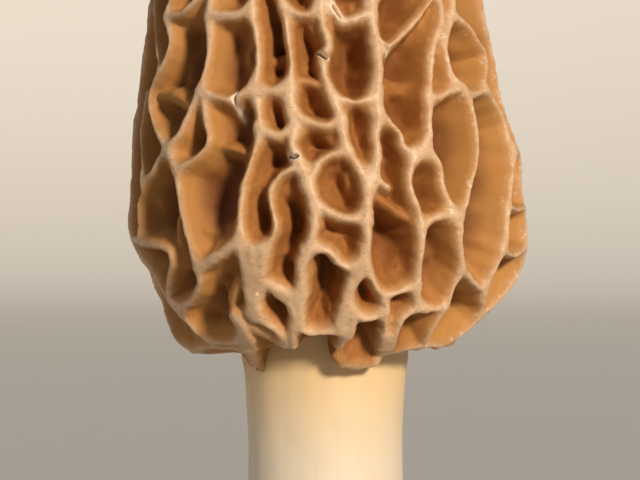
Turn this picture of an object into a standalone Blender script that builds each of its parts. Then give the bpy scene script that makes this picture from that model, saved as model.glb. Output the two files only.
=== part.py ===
"""A morel mushroom, picked and standing on its cut stem.

Cap and stem grew as one hollow body, so the model is one solid. A turned outline gives the
smooth body. Ridge lines are then laid over the cap by angle round it and height above the cut,
and everything between them is sunk inwards to make the pits. Angles are in degrees from the
front (-Y), positive towards +X. Lengths are in millimetres until the mesh is made.
"""

import math
import random

import bmesh
import bpy
import numpy as np

MM = 0.001

# Outlines, as (radius, height above the cut), from the foot to the top.
STEM_OUTLINE = [
    (12.9, -3), (13.6, 1), (13.9, 4.5), (13.3, 10), (12.3, 17), (11.7, 24), (11.55, 31),
    (11.8, 37.5), (12.1, 41.5), (12.5, 44),
]
CAP_OUTLINE = [
    (14.5, 44.6), (18.4, 45), (22.3, 47.3), (24.8, 50.6), (26.8, 54.6), (28.6, 58.3),
    (29.7, 62.5), (29.6, 67.5), (29, 74.5), (27.8, 82), (26.6, 90), (25.5, 97.5),
    (23.2, 106.5), (18.8, 116.5), (11.5, 125.5), (0, 130),
]
HOLLOW_OUTLINE = [
    (9.4, -3), (9.7, 4), (9.3, 12), (8.6, 24), (8.6, 36), (9.6, 43), (12.5, 50), (15.3, 57),
    (16.6, 66), (16.4, 80), (15, 94), (12.5, 105), (8.5, 112), (0, 116),
]

WALL_DEPTH = 4.8  # how far a pit's steep wall falls below its crest
WALL_RUN = 0.9  # how far across the wall takes to fall through two thirds of that
BOWL_DEPTH = 5.5  # how much further the rounded floor of a wide pit falls
BOWL_RUN = 3.0  # how far across the floor takes to fall through two thirds of that
CREST_ROUNDING = 0.3  # softness of the edge between a crest and its walls
CORNER_FILLET = 0.55  # softness of a pit's corners, where ridges meet
BOWL_FILLET = 1.8  # softness of its floor there
LEDGE_RUN = 2.2  # how far across a ledge's sides take to fall two thirds of their way
LEDGE_BLEND = 0.8  # softness of the line where a ledge meets the pit's walls
FOOT_DEPTH_SHARE = 0.5  # pits at the foot of the cap are this much shallower
FOOT_FADE = (45.0, 51.0)
TOP_DEPTH_SHARE = 0.65
TOP_FADE = (112.0, 128.0)
ROUND_FADE = (-75, -52, -25, -14, 20, 32, 75)  # degrees round the cap
ROUND_DEPTH_SHARES = (1.0, 0.65, 0.7, 1.25, 1.25, 0.85, 1.0)
LEAN_PER_MM = -0.035  # sideways lean of the cap, for each millimetre above LEAN_FROM
LEAN_FROM = 60.0

# Places where the smooth body stands proud (+) or falls back (-): angle, height, rise, reach.
SWELLS = [
    (84, 73.5, 1.1, 3.5), (86, 57, 1.5, 5.0), (86, 65.5, 0.6, 2.5),
    (-84, 54.5, -1.1, 4.0), (-80, 46.5, 1.5, 3.2),
]

# Ridges that reach the full height of the cap's surface: (half width, route), where the route
# is a list of (angle, height).
LEFT_SIDE_RIDGES = [
    (0.6, [(-76, 103), (-75, 99), (-72, 95), (-66, 90), (-61, 86.5)]),
    (0.6, [(-70, 83.5), (-72, 79), (-71, 76), (-66, 70), (-69.5, 67), (-70, 64), (-71, 61)]),
    (0.8, [(-58, 103), (-57, 98), (-59.5, 94), (-55.5, 90.5), (-58, 87.5), (-66, 83.5),
           (-65, 80.5), (-59, 77.5), (-50.5, 74.5)]),
    (0.7, [(-50.5, 74.5), (-56, 73.3), (-60, 71.3), (-66, 70)]),
    (0.9, [(-37, 103), (-37, 97), (-37.5, 93), (-36.5, 89), (-38.5, 84), (-44, 79), (-46, 77),
           (-50.5, 74.5), (-47, 71.5), (-45, 67), (-43, 63), (-41.5, 57.5), (-42, 56),
           (-43.8, 54.4), (-50.5, 52.4), (-58.5, 51.2), (-65, 50.5)]),
    (0.8, [(-38, 82.5), (-36.5, 79), (-34.5, 76), (-37, 74), (-42, 72.5), (-47, 71.5)]),
    (0.8, [(-59.5, 94.3), (-51, 94.3), (-44, 96), (-37.5, 98)]),
    (1.0, [(-81, 61.5), (-72, 61), (-62, 60.7), (-56, 60.4), (-52, 59.5), (-53, 57.5),
           (-58, 55.5), (-62, 54), (-63, 52.5), (-58.7, 51.1)]),
    (1.0, [(-24.6, 61.8), (-28.5, 60.2), (-33.9, 58.7), (-37, 57.9), (-41.5, 57)]),
    (0.8, [(-56, 46.7), (-50, 46.3), (-44, 46.2), (-38, 46.4), (-33, 46.8)]),
]
LEFT_FRONT_RIDGES = [
    (0.8, [(-21, 102.5), (-20.5, 98), (-22, 94), (-20, 91.5), (-19, 86.5), (-20, 83.3),
           (-18, 78), (-20, 73.5), (-23, 69), (-24, 65), (-24.7, 60), (-24.5, 56),
           (-25.3, 53.5), (-24.8, 50.7)]),
    (1.3, [(-32.6, 50.2), (-31.8, 49.4), (-31.3, 48.2), (-32.3, 46.9)]),
    (0.8, [(-20.5, 102), (-15, 98), (-11, 95), (-9.3, 90), (-8.5, 86), (-9.5, 83)]),
    (1.1, [(-9.5, 83), (-8.7, 80), (-8, 77.5), (-8.5, 75), (-7, 73), (-4, 69), (-2.7, 66.5),
           (-3, 63), (-5, 60), (-7, 57.5), (-7.5, 54.5), (-8.5, 51.5), (-9.5, 49)]),
    (0.9, [(-37.5, 93.8), (-28, 93.6), (-22, 94.3)]),
    (0.8, [(-38, 83), (-34, 82.1), (-27, 81.6), (-20, 83.3)]),
    (0.9, [(-10.5, 94.5), (-6, 93.6), (-2, 93.6), (1, 95)]),
    (1.0, [(-20, 83), (-15, 82.7), (-9.5, 82.9)]),
    (1.0, [(-18, 77.4), (-15, 76.5), (-11.8, 76.4), (-8.2, 77.6)]),
    (0.9, [(-8.5, 80), (-5.5, 78.8), (-2, 78), (2, 77.7), (6, 78.5)]),
    (0.8, [(-6.5, 71.8), (-11, 71), (-14.3, 69.2), (-15, 67), (-13.7, 64), (-14.5, 62),
           (-17.5, 60)]),
    (1.2, [(-17.5, 60), (-18.5, 58), (-20.5, 55.5), (-23, 53), (-24, 51)]),
    (1.5, [(-21.5, 59.5), (-22.5, 55.5)]),
    (1.1, [(-15, 53.9), (-12, 53.3), (-9.5, 53.3), (-8, 53.7)]),
    (0.9, [(-21, 55.3), (-17.4, 54.7), (-15.4, 54), (-13.1, 53.1), (-11.5, 52.1),
           (-10.5, 50.8), (-10.4, 49.5), (-11.6, 48.2), (-12.8, 46.9), (-13.5, 45.6)]),
    (1.0, [(-25.2, 50.7), (-22.2, 49.6), (-19.2, 48.6), (-17, 47.6), (-16.2, 46.7),
           (-16.6, 45.8)]),
    (0.8, [(-9.5, 48.5), (-6, 47.7), (-2, 47.7), (6, 48)]),
]
MIDDLE_RIDGES = [
    (1.0, [(1.5, 103), (1, 98), (1, 94), (1.8, 91.8), (3, 90), (3, 88.7), (1.5, 87.5),
           (1.4, 85.3), (2.3, 83.7), (3.4, 82.2), (4.9, 80.2), (6, 79), (6.3, 76.5),
           (7.5, 74.3), (10, 72), (12.5, 69)]),
    (0.7, [(2, 96.8), (4.5, 95.7), (6.4, 93.8)]),
    (0.9, [(18, 94), (14, 93.2), (10, 92.6), (8, 92.4)]),
    (1.1, [(17, 103), (18, 98), (18, 94), (18.5, 90), (19, 87.5), (17.3, 81), (17.3, 78.5),
           (16, 76.5), (16, 74), (15, 71.5), (12.5, 67.5), (12, 64), (12, 61), (11, 57.7)]),
    (1.2, [(10, 56.5), (8, 54.6), (6.8, 52.4), (5.8, 49.8), (5, 48.4)]),
    (0.8, [(8.5, 51.5), (9.5, 49.5), (8.8, 47.6), (8.4, 47)]),
    (0.9, [(14.5, 70.3), (16.5, 69.6), (18.4, 69)]),
    (0.8, [(11, 57.7), (13, 56.5), (16, 54.5), (19.5, 52.7), (21.5, 49.5), (23, 47),
           (24.5, 45.3)]),
    (0.8, [(18.5, 95.5), (22, 97.5), (26, 101)]),
    (0.7, [(19, 88.3), (25, 89.8), (30, 91.6), (36, 94), (43, 97)]),
    (0.8, [(4, 81.8), (10, 81.1), (14, 81.4), (17.5, 82.5)]),
    (0.8, [(-4.5, 69.2), (-2.8, 70.8), (-1.1, 72.3), (1.5, 73.3), (4.6, 73.8), (7.5, 74.2)]),
    (0.9, [(-2.2, 66.6), (1.6, 65.4), (5, 64.6), (8.5, 64.4), (12, 64.8)]),
    (0.9, [(-5.2, 59.6), (-3.5, 59.8), (-1, 59.9), (1, 59.6), (2.5, 58.9), (4, 57.9),
           (6.5, 57.3), (11, 57.6)]),
    (0.9, [(8, 51.2), (10.5, 50.5), (13.5, 49.9), (16.5, 50), (20.5, 50.8)]),
]
RIGHT_FRONT_RIDGES = [
    (0.9, [(46, 102.5), (44.5, 98), (45, 95), (44, 92.5), (40, 90), (38.3, 88), (35.5, 83),
           (34.5, 80), (33.5, 77), (31, 74.5), (27, 72.7), (25.2, 70.3), (25.5, 68.3),
           (27.5, 65.5), (28.5, 62.5), (28.5, 59.5), (29.3, 56), (31, 53), (33.5, 51.5)]),
    (0.9, [(31, 74.5), (34.5, 73.2), (36.3, 71.5), (36.2, 69.3), (38.3, 66.8), (41, 65),
           (42, 63), (42.3, 60.5), (45.8, 57), (45, 54.5), (44.5, 52), (43, 49.5),
           (43, 47.5), (45, 45.3)]),
    (0.9, [(55, 103), (53, 99), (51.5, 95.5), (48, 92.5), (45, 90), (44.7, 88), (46, 85),
           (51, 83), (53.5, 80), (53.7, 77), (52.5, 74), (47, 69), (44.5, 66.7), (41, 64.7)]),
    (0.8, [(17.5, 80), (21, 78), (23.5, 76.5), (24, 75), (26.5, 74), (31, 74.2)]),
    (0.8, [(28.5, 63), (31, 64.2), (35, 64.9), (41, 65)]),
    (0.8, [(35, 82), (39, 82), (43.5, 83), (50, 83.6)]),
    (0.8, [(19.5, 53), (24, 53.8), (29.5, 54.6)]),
    (0.8, [(44, 51.5), (37, 51.2), (33.5, 51.6), (30, 50.7), (27.7, 49.5), (27.5, 47.5),
           (28.5, 45.5)]),
]
RIGHT_SIDE_RIDGES = [
    (0.9, [(50.5, 94), (57, 93.2), (62, 92), (65.5, 90.5), (70, 88.7), (67, 86), (64, 84.3),
           (73, 81.3), (77, 79), (76.5, 76.5), (78, 74.5), (75.5, 72), (69, 66.5),
           (66, 63.5), (66, 61), (63.5, 57.5), (63.5, 55), (65, 53), (72.5, 49.8)]),
    (0.8, [(52, 82.7), (58, 82.9), (65, 83.7)]),
    (0.8, [(46, 57), (50, 56), (55, 54.9), (60, 54.2), (64, 54.3)]),
    (0.9, [(65.5, 60), (70, 59.3), (76, 59.3), (86, 60.5)]),
    (0.7, [(78, 74.5), (87, 74.3)]),
    (0.7, [(69, 66.6), (78, 66), (87, 66.3)]),
]
# The long ridges that close the described front off from the grown rows behind and above it.
LEFT_BORDER = [
    (-82, 104), (-80, 98), (-79, 92), (-81, 86), (-82, 80), (-80, 74), (-79, 70), (-81, 66),
    (-82, 61.5), (-80, 59), (-73, 57), (-68, 55), (-67, 52.5), (-62, 50.9), (-58.5, 49.2),
    (-57.5, 47.6), (-56, 46.5), (-54, 45.4),
]
RIGHT_BORDER = [
    (80, 104), (78, 98), (77, 94), (82, 90.5), (84, 87), (81, 83.5), (84, 79), (87, 74.5),
    (86, 70), (87, 66), (86, 62), (87, 57.5), (84, 54), (78, 51), (72.5, 49.8), (69, 48),
    (63, 46), (61, 45.2),
]
TOP_BORDER = [
    (-82, 104), (-76, 102.5), (-67, 105.5), (-58, 102.5), (-47, 106.5), (-37, 102.5),
    (-29, 107), (-20.5, 102), (-9, 107.5), (1.5, 102.5), (9, 107), (17, 102.5), (26, 101),
    (36, 105), (46, 102), (50, 101.5), (55, 102.5), (66, 106.5), (76, 103), (80, 104),
]
BORDER_HALF_WIDTH = 0.8
BRIM_HALF_WIDTH = 0.8
BRIM_HEIGHT = 45.2

# Ledges that cross a pit below its crests: (half width, drop below the crests, route).
LEDGES = [
    (0.6, 2.4, [(-45.5, 66.5), (-48, 64.5), (-48.5, 62), (-49, 59.5), (-50, 57)]),
    (0.7, 1.5, [(-66, 82.8), (-57, 83), (-50, 82.2), (-43, 80.8)]),
    (0.7, 2.4, [(-35, 75), (-30.5, 75), (-26, 74.4), (-20, 73.5)]),
    (0.9, 2.6, [(-20, 87.2), (-14, 87.3), (-9, 88)]),
    (0.9, 1.0, [(-9, 84.2), (-4, 84.2), (0, 83.6), (3, 82.2)]),
    (1.1, 1.6, [(-2, 92.3), (0, 91), (2, 89.5)]),
    (1.2, 1.6, [(1, 77.3), (3.5, 76), (5, 75)]),
    (1.6, 2.4, [(-11.5, 69), (-8, 69.6)]),
    (2.2, 2.6, [(23, 86.6), (28, 87), (34, 88.5), (39, 91)]),
    (0.9, 1.5, [(13.5, 68.6), (17, 67.4), (19.6, 66.4), (22.5, 65.4), (27, 64.2)]),
    (0.9, 0.9, [(-5.6, 58.2), (-5.2, 57), (-5.2, 55.4), (-6, 53.6)]),
    (1.4, 0.7, [(-28.5, 48.6), (-24.5, 47.7), (-21, 46.8), (-18.3, 45.9)]),
    (0.8, 1.2, [(-28, 54.8), (-31.2, 53.2), (-33.3, 51.6), (-33, 50.4)]),
]

# Rows of pits that the grown part is laid out in: (height, pits round the cap).
GROWN_ROWS = [
    (49.5, 16), (59.5, 20), (71, 21), (83.5, 20), (96, 18), (109, 14), (119, 9), (127.5, 3),
]
GROWN_SEED = 7
GROWN_JITTER = 0.3  # of the spacing round the cap, each way
GROWN_RISE = 3.2  # how far a pit may lie above or below its row
GROWN_TOP = 128.5
GROWN_HALF_WIDTHS = (0.3, 0.9)
GROWN_STRETCH = 0.74  # heights count this much, so that pits grow taller than wide
PAIR_SHARE = 0.6  # of the grown pits that look for a partner above, to make one long pit
PAIR_WEIGHTS = (1.6, 1.6, 1.0)
PAIR_REACH = 18.0
PAIR_DROPS = (1.5, 6.0)  # how far the ridge between partners lies down
DRIFT = 2.1  # how far the grown ridges wander
DRIFT_REACH = 11.0
DRIFT_WAVES = 5

# Drips of the cap that run down over the stem: (half width, rise, route).
DRIP_EDGE = 4  # power of a drip's fall at its sides: higher is steeper
DRIPS = [
    (1.0, 1.3, [(-35, 44.9), (-42, 44.2), (-46, 43.2), (-48, 42.2)]),
    (1.3, 1.4, [(7, 45), (11, 43.6), (18, 43.1), (25, 43.6), (30, 45)]),
]

BODY_SPACING = 0.75  # between points of the cap before thinning
STEM_SPACING = 1.6
HOLLOW_SPACING = 4.0
BODY_STEPS = 250
ROUTE_STEPS = 4
OUTLINE_STEPS = 8
CAP_STEPS = 16
BRIM_STEP = 5  # degrees between points of the brim
MERGE_DISTANCE = 1e-4
ON_OUTLINE = 0.01  # a point within this distance of the outline belongs to it
TRIANGLES = 9000

KNIFE_SIZE = 60.0

COLOUR = (0.62, 0.38, 0.18, 1.0)
ROUGHNESS = 0.62


def smooth_line(points, steps):
    """A Catmull-Rom line through the points, with so many steps between each two."""
    p = np.array(points, float)
    p = np.vstack([2 * p[0] - p[1], p, 2 * p[-1] - p[-2]])
    t = np.linspace(0, 1, steps, endpoint=False)[:, None]
    runs = []
    for a, b, c, d in zip(p[:-3], p[1:-2], p[2:-1], p[3:]):
        bend = (2 * a - 5 * b + 4 * c - d) * t**2 + (3 * (b - c) + d - a) * t**3
        runs.append(0.5 * (2 * b + (c - a) * t + bend))
    return np.vstack(runs + [p[-2:-1]])


def evenly_spaced(line, spacing):
    """The line's own shape with points at an even spacing."""
    along = np.concatenate([[0], np.cumsum(np.linalg.norm(np.diff(line, axis=0), axis=1))])
    at = np.linspace(0, along[-1], max(2, round(along[-1] / spacing) + 1))
    return np.column_stack([np.interp(at, along, line[:, i]) for i in range(line.shape[1])])


CAP_LINE = smooth_line(CAP_OUTLINE, CAP_STEPS)
CAP_LINE[:, 1] = np.maximum.accumulate(CAP_LINE[:, 1])


def on_cap(route):
    """Points of the smooth cap, before it leans, for a route of (angle, height)."""
    angle, height = np.radians(route[:, 0]), route[:, 1]
    radius = np.interp(height, CAP_LINE[:, 1], CAP_LINE[:, 0])
    return np.column_stack([radius * np.sin(angle), -radius * np.cos(angle), height])


def on_stem(route):
    angle, height = np.radians(route[:, 0]), route[:, 1]
    line = np.array(STEM_OUTLINE)
    radius = np.interp(height, line[:, 1], line[:, 0])
    return np.column_stack([radius * np.sin(angle), -radius * np.cos(angle), height])


def distance_to_line(points, line):
    """The distance of each point from a line of straight runs."""
    best = np.full(len(points), np.inf)
    for start, end in zip(line[:-1], line[1:]):
        run = end - start
        away = points - start
        share = np.clip(away @ run / max(run @ run, 1e-9), 0, 1)
        best = np.minimum(best, np.sum((away - share[:, None] * run) ** 2, axis=1))
    return np.sqrt(best)


def drift(points, reach, seed):
    """A smooth wandering offset, up to about 1 each way, that depends only on place."""
    rng = np.random.default_rng(seed)
    offset = np.zeros((len(points), 3))
    for _ in range(DRIFT_WAVES):
        wave = rng.normal(size=(3, 3)) * (2 / reach)
        offset += np.sin(points @ wave + rng.uniform(0, 2 * math.pi, 3))
    return offset / 3


def soft_minimum(gaps, softness):
    """The smallest of each column, with the places where two are equal rounded over."""
    least = gaps.min(axis=0)
    return least - softness * np.log(np.exp((least - gaps) / softness).sum(axis=0))


def behind_border(points):
    """Whether each point is outside the described front."""
    angle = np.degrees(np.arctan2(points[:, 0], -points[:, 1]))
    height = points[:, 2]
    left, right = np.array(LEFT_BORDER)[::-1], np.array(RIGHT_BORDER)[::-1]
    top = np.array(TOP_BORDER)
    return (
        (angle < np.interp(height, left[:, 1], left[:, 0]))
        | (angle > np.interp(height, right[:, 1], right[:, 0]))
        | (height > np.interp(angle, top[:, 0], top[:, 1]))
    )


def grown_pits():
    """Each grown pit's middle, its ridges' half width, its partner and their ridge's drop."""
    chance = random.Random(GROWN_SEED)
    places = []
    for row, (height, count) in enumerate(GROWN_ROWS):
        for i in range(count):
            turn = i + 0.5 * (row % 2) + chance.uniform(-GROWN_JITTER, GROWN_JITTER)
            rise = chance.uniform(-GROWN_RISE, GROWN_RISE)
            angle = (turn * 360 / count + 180) % 360 - 180
            places.append((angle, min(height + rise, GROWN_TOP)))
    middles = on_cap(np.array(places))
    middles = middles[behind_border(middles)]
    halves = np.array([chance.uniform(*GROWN_HALF_WIDTHS) for _ in middles])
    partner = np.arange(len(middles))
    drops = np.zeros(len(middles))
    for i, middle in enumerate(middles):
        looks = chance.random() < PAIR_SHARE
        drop = chance.uniform(*PAIR_DROPS)
        if looks and partner[i] == i:
            away = np.linalg.norm((middles - middle) * PAIR_WEIGHTS, axis=1)
            away[(partner != np.arange(len(middles))) | (middles[:, 2] <= middle[2])] = np.inf
            other = away.argmin()
            if away[other] < PAIR_REACH:
                partner[i], partner[other] = other, i
                drops[[i, other]] = drop
    return middles, halves, partner, drops


GROWN_PITS = grown_pits()


def grown_gaps(points):
    """How far each point is from the edge of the ridge between its own pit and each other one.

    Then how far it is from the sunken ridge between its own pit and the partner, and how far
    that ridge lies down.
    """
    scale = np.array([1, 1, GROWN_STRETCH])
    middles, halves, partner, drops = GROWN_PITS
    middles = middles * scale
    moved = (points + DRIFT * drift(points, DRIFT_REACH, GROWN_SEED)) * scale
    away = np.linalg.norm(moved[:, None] - middles[None], axis=2)
    own = away.argmin(axis=1)
    row = np.arange(len(points))
    gaps = (away - away[row, own][:, None]) / 2 - (halves[own][:, None] + halves[None]) / 2
    sunken = np.where(partner[own] == own, np.inf, gaps[row, partner[own]])
    gaps[row, own] = np.inf
    gaps[row, partner[own]] = np.inf
    return gaps, sunken, drops[own]


def ridge_gaps(points, behind, grown):
    """How far each point is from the crest of the ridges, where a crest itself counts as 0."""
    described = (
        LEFT_SIDE_RIDGES + LEFT_FRONT_RIDGES + MIDDLE_RIDGES + RIGHT_FRONT_RIDGES
        + RIGHT_SIDE_RIDGES
    )
    gaps = []
    for half_width, route in described:
        line = on_cap(smooth_line(route, ROUTE_STEPS))
        gaps.append(np.where(behind, np.inf, distance_to_line(points, line) - half_width))
    for border in (LEFT_BORDER, RIGHT_BORDER, TOP_BORDER):
        line = on_cap(smooth_line(border, ROUTE_STEPS))
        gaps.append(distance_to_line(points, line) - BORDER_HALF_WIDTH)
    brim = on_cap(np.array([(angle, BRIM_HEIGHT) for angle in range(-180, 181, BRIM_STEP)]))
    gaps.append(distance_to_line(points, brim) - BRIM_HALF_WIDTH)
    return np.vstack([gaps, np.where(behind, grown.T, np.inf)])


def fall(gap, depth, run):
    """Depth of a wall or a floor at a distance from its crest's edge."""
    out = CREST_ROUNDING * np.logaddexp(0, gap / CREST_ROUNDING)
    return depth * (1 - np.exp(-out / run))


def pit_depth(points):
    """How far each point of the smooth cap is sunk inwards."""
    behind = behind_border(points)
    grown, sunken, sunken_drop = grown_gaps(points)
    gaps = ridge_gaps(points, behind, grown)
    wall = fall(soft_minimum(gaps, CORNER_FILLET), WALL_DEPTH, WALL_RUN)
    bowl = fall(soft_minimum(gaps, BOWL_FILLET), BOWL_DEPTH, BOWL_RUN)
    depth = wall + bowl
    ledges = [(sunken_drop, np.where(behind, sunken, np.inf))]
    for half_width, drop, route in LEDGES:
        line = on_cap(smooth_line(route, ROUTE_STEPS))
        ledges.append((drop, distance_to_line(points, line) - half_width))
    for drop, gap in ledges:
        ledge = drop + fall(gap, WALL_DEPTH + BOWL_DEPTH, LEDGE_RUN)
        depth = soft_minimum(np.array([depth, ledge]), LEDGE_BLEND)
    angle = np.degrees(np.arctan2(points[:, 0], -points[:, 1]))
    height = points[:, 2]
    depth *= np.interp(angle, ROUND_FADE, ROUND_DEPTH_SHARES)
    depth *= np.interp(height, FOOT_FADE, (FOOT_DEPTH_SHARE, 1))
    return depth * np.interp(height, TOP_FADE, (1, TOP_DEPTH_SHARE))


def swell(points):
    rise = np.zeros(len(points))
    for angle, height, most, reach in SWELLS:
        middle = on_cap(np.array([(angle, height)]))[0]
        away = np.sum((points - middle) ** 2, axis=1) / (2 * reach**2)
        rise += most * np.exp(-away)
    return rise


def drip_rise(points):
    rise = np.zeros(len(points))
    for half_width, most, route in DRIPS:
        away = distance_to_line(points, on_stem(smooth_line(route, ROUTE_STEPS)))
        rise = np.maximum(rise, most / (1 + (away / half_width) ** DRIP_EDGE))
    return rise


def outward(line):
    """The outward direction, as (radius, height), at each point of an outline."""
    along = np.gradient(line, axis=0)
    along /= np.linalg.norm(along, axis=1)[:, None]
    return np.column_stack([along[:, 1], -along[:, 0]])


def body_mesh():
    """The turned body, with its pits sunk and its hollow open at the foot, in metres."""
    stem = evenly_spaced(smooth_line(STEM_OUTLINE, OUTLINE_STEPS), STEM_SPACING)
    cap = evenly_spaced(np.vstack([STEM_OUTLINE[-1:], CAP_LINE]), BODY_SPACING)[1:]
    hollow = evenly_spaced(smooth_line(HOLLOW_OUTLINE, OUTLINE_STEPS), HOLLOW_SPACING)[::-1]
    outer = np.vstack([stem, cap])
    outline = np.vstack([outer, hollow])
    bm = bmesh.new()
    points = [bm.verts.new((radius, 0, height)) for radius, height in outline]
    edges = [bm.edges.new(pair) for pair in zip(points[: len(outer)], points[1 : len(outer)])]
    edges += [bm.edges.new(pair) for pair in zip(points[len(outer) :], points[len(outer) + 1 :])]
    edges.append(bm.edges.new((points[-1], points[0])))
    bmesh.ops.spin(
        bm, geom=points + edges, cent=(0, 0, 0), axis=(0, 0, 1), angle=2 * math.pi,
        steps=BODY_STEPS, use_merge=True,
    )
    bmesh.ops.remove_doubles(bm, verts=bm.verts, dist=MERGE_DISTANCE)
    bmesh.ops.recalc_face_normals(bm, faces=bm.faces)
    mesh = bpy.data.meshes.new("fruiting_body")
    bm.to_mesh(mesh)
    bm.free()
    shape_points(mesh, outer, len(stem))
    return mesh


def shape_points(mesh, outer, stem_count):
    """Sinks the pits, raises the drips, leans the cap and centres the body over the origin."""
    at = np.empty(len(mesh.vertices) * 3, np.float32)
    mesh.vertices.foreach_get("co", at)
    at = at.reshape(-1, 3).astype(float)
    radius = np.hypot(at[:, 0], at[:, 1])
    section = np.column_stack([radius, at[:, 2]])
    away = ((section[:, None] - outer[None]) ** 2).sum(axis=2)
    nearest = away.argmin(axis=1)
    is_outer = away.min(axis=1) < ON_OUTLINE**2
    is_cap = is_outer & (nearest >= stem_count)
    is_stem = is_outer & ~is_cap
    direction = outward(outer)[nearest]
    round_axis = at[:, :2] / np.maximum(radius, ON_OUTLINE)[:, None]
    normal = np.column_stack([direction[:, :1] * round_axis, direction[:, 1]])
    move = np.zeros(len(at))
    move[is_cap] = swell(at[is_cap]) - pit_depth(at[is_cap])
    move[is_stem] = drip_rise(at[is_stem])
    at += normal * move[:, None]
    at[:, 0] += LEAN_PER_MM * np.maximum(0, at[:, 2] - LEAN_FROM)
    middle = (at[:, :2].max(axis=0) + at[:, :2].min(axis=0)) / 2
    at[:, :2] -= middle
    mesh.vertices.foreach_set("co", (at * MM).astype(np.float32).ravel())
    mesh.update()


def flesh_material():
    material = bpy.data.materials.new("flesh")
    material.use_nodes = True
    shader = material.node_tree.nodes["Principled BSDF"]
    shader.inputs["Base Color"].default_value = COLOUR
    shader.inputs["Roughness"].default_value = ROUGHNESS
    shader.inputs["Metallic"].default_value = 0.0
    return material


def knife():
    """The block whose top is the plane of the cut through the stem."""
    bm = bmesh.new()
    bmesh.ops.create_cube(bm, size=KNIFE_SIZE * MM)
    bmesh.ops.translate(bm, verts=bm.verts, vec=(0, 0, -KNIFE_SIZE / 2 * MM))
    mesh = bpy.data.meshes.new("knife")
    bm.to_mesh(mesh)
    bm.free()
    block = bpy.data.objects.new("knife", mesh)
    block.hide_render = True
    block.display_type = "WIRE"
    bpy.context.scene.collection.objects.link(block)
    return block


def fruiting_body():
    body = bpy.data.objects.new("fruiting_body", body_mesh())
    bpy.context.scene.collection.objects.link(body)
    body.data.materials.append(flesh_material())
    body.data.shade_smooth()
    thin = body.modifiers.new("thin", "DECIMATE")
    thin.ratio = TRIANGLES / (2 * len(body.data.polygons))
    cut = body.modifiers.new("cut", "BOOLEAN")
    cut.operation = "DIFFERENCE"
    cut.solver = "EXACT"
    cut.object = knife()
    return body


def main():
    for obj in list(bpy.data.objects):
        bpy.data.objects.remove(obj)
    fruiting_body()


main()
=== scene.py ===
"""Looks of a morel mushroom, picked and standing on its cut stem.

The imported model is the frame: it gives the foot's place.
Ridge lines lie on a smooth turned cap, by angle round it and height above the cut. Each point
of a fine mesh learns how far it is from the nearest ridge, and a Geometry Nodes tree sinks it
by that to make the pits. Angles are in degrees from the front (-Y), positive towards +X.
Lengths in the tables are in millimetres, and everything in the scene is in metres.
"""

import math
import random

import bmesh
import bpy
import numpy as np
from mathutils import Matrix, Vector
from bpy.props import (
    FloatProperty, FloatVectorProperty, IntProperty, PointerProperty,
)


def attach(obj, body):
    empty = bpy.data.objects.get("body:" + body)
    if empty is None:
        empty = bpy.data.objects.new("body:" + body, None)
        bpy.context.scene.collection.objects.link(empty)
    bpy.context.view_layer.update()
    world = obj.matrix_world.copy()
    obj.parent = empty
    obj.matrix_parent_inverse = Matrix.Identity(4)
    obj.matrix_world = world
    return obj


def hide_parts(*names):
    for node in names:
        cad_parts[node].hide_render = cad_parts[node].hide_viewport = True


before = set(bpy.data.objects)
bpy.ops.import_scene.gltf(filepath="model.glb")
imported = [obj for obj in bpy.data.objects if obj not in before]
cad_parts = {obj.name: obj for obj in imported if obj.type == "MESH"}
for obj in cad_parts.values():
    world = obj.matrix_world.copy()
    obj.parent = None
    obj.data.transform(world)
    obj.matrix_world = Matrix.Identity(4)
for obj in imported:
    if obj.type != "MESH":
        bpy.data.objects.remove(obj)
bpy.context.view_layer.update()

bl_info = {
    "name": "Morel mushroom",
    "version": (1, 0, 0),
    "blender": (4, 5, 0),
    "location": "View3D > Sidebar > Morel",
    "description": "Grows a morel's pitted cap and its stem around the packed model",
    "category": "Add Mesh",
}

MM = 0.001
NODE = "fruiting_body"
BODY = "root"

# Outlines, as (radius, height above the cut), from the foot to the top.
STEM_OUTLINE = [
    (12.9, -3), (13.6, 1), (13.9, 4.5), (13.3, 10), (12.3, 17), (11.7, 24), (11.55, 31),
    (11.8, 37.5), (12.1, 41.5), (12.5, 44),
]
CAP_OUTLINE = [
    (14.5, 44.6), (18.4, 45), (22.3, 47.3), (24.8, 50.6), (26.8, 54.6), (28.6, 58.3), (29.7, 62.5),
    (29.6, 67.5), (29, 74.5), (27.8, 82), (26.6, 90), (25.5, 97.5), (23.2, 106.5), (18.8, 116.5),
    (11.5, 125.5), (0, 130),
]
HOLLOW_OUTLINE = [
    (9.4, -3), (9.7, 4), (9.3, 12), (8.6, 24), (8.6, 36), (9.6, 43), (12.5, 50), (15.3, 57),
    (16.6, 66), (16.4, 80), (15, 94), (12.5, 105), (8.5, 112), (0, 116),
]

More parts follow.
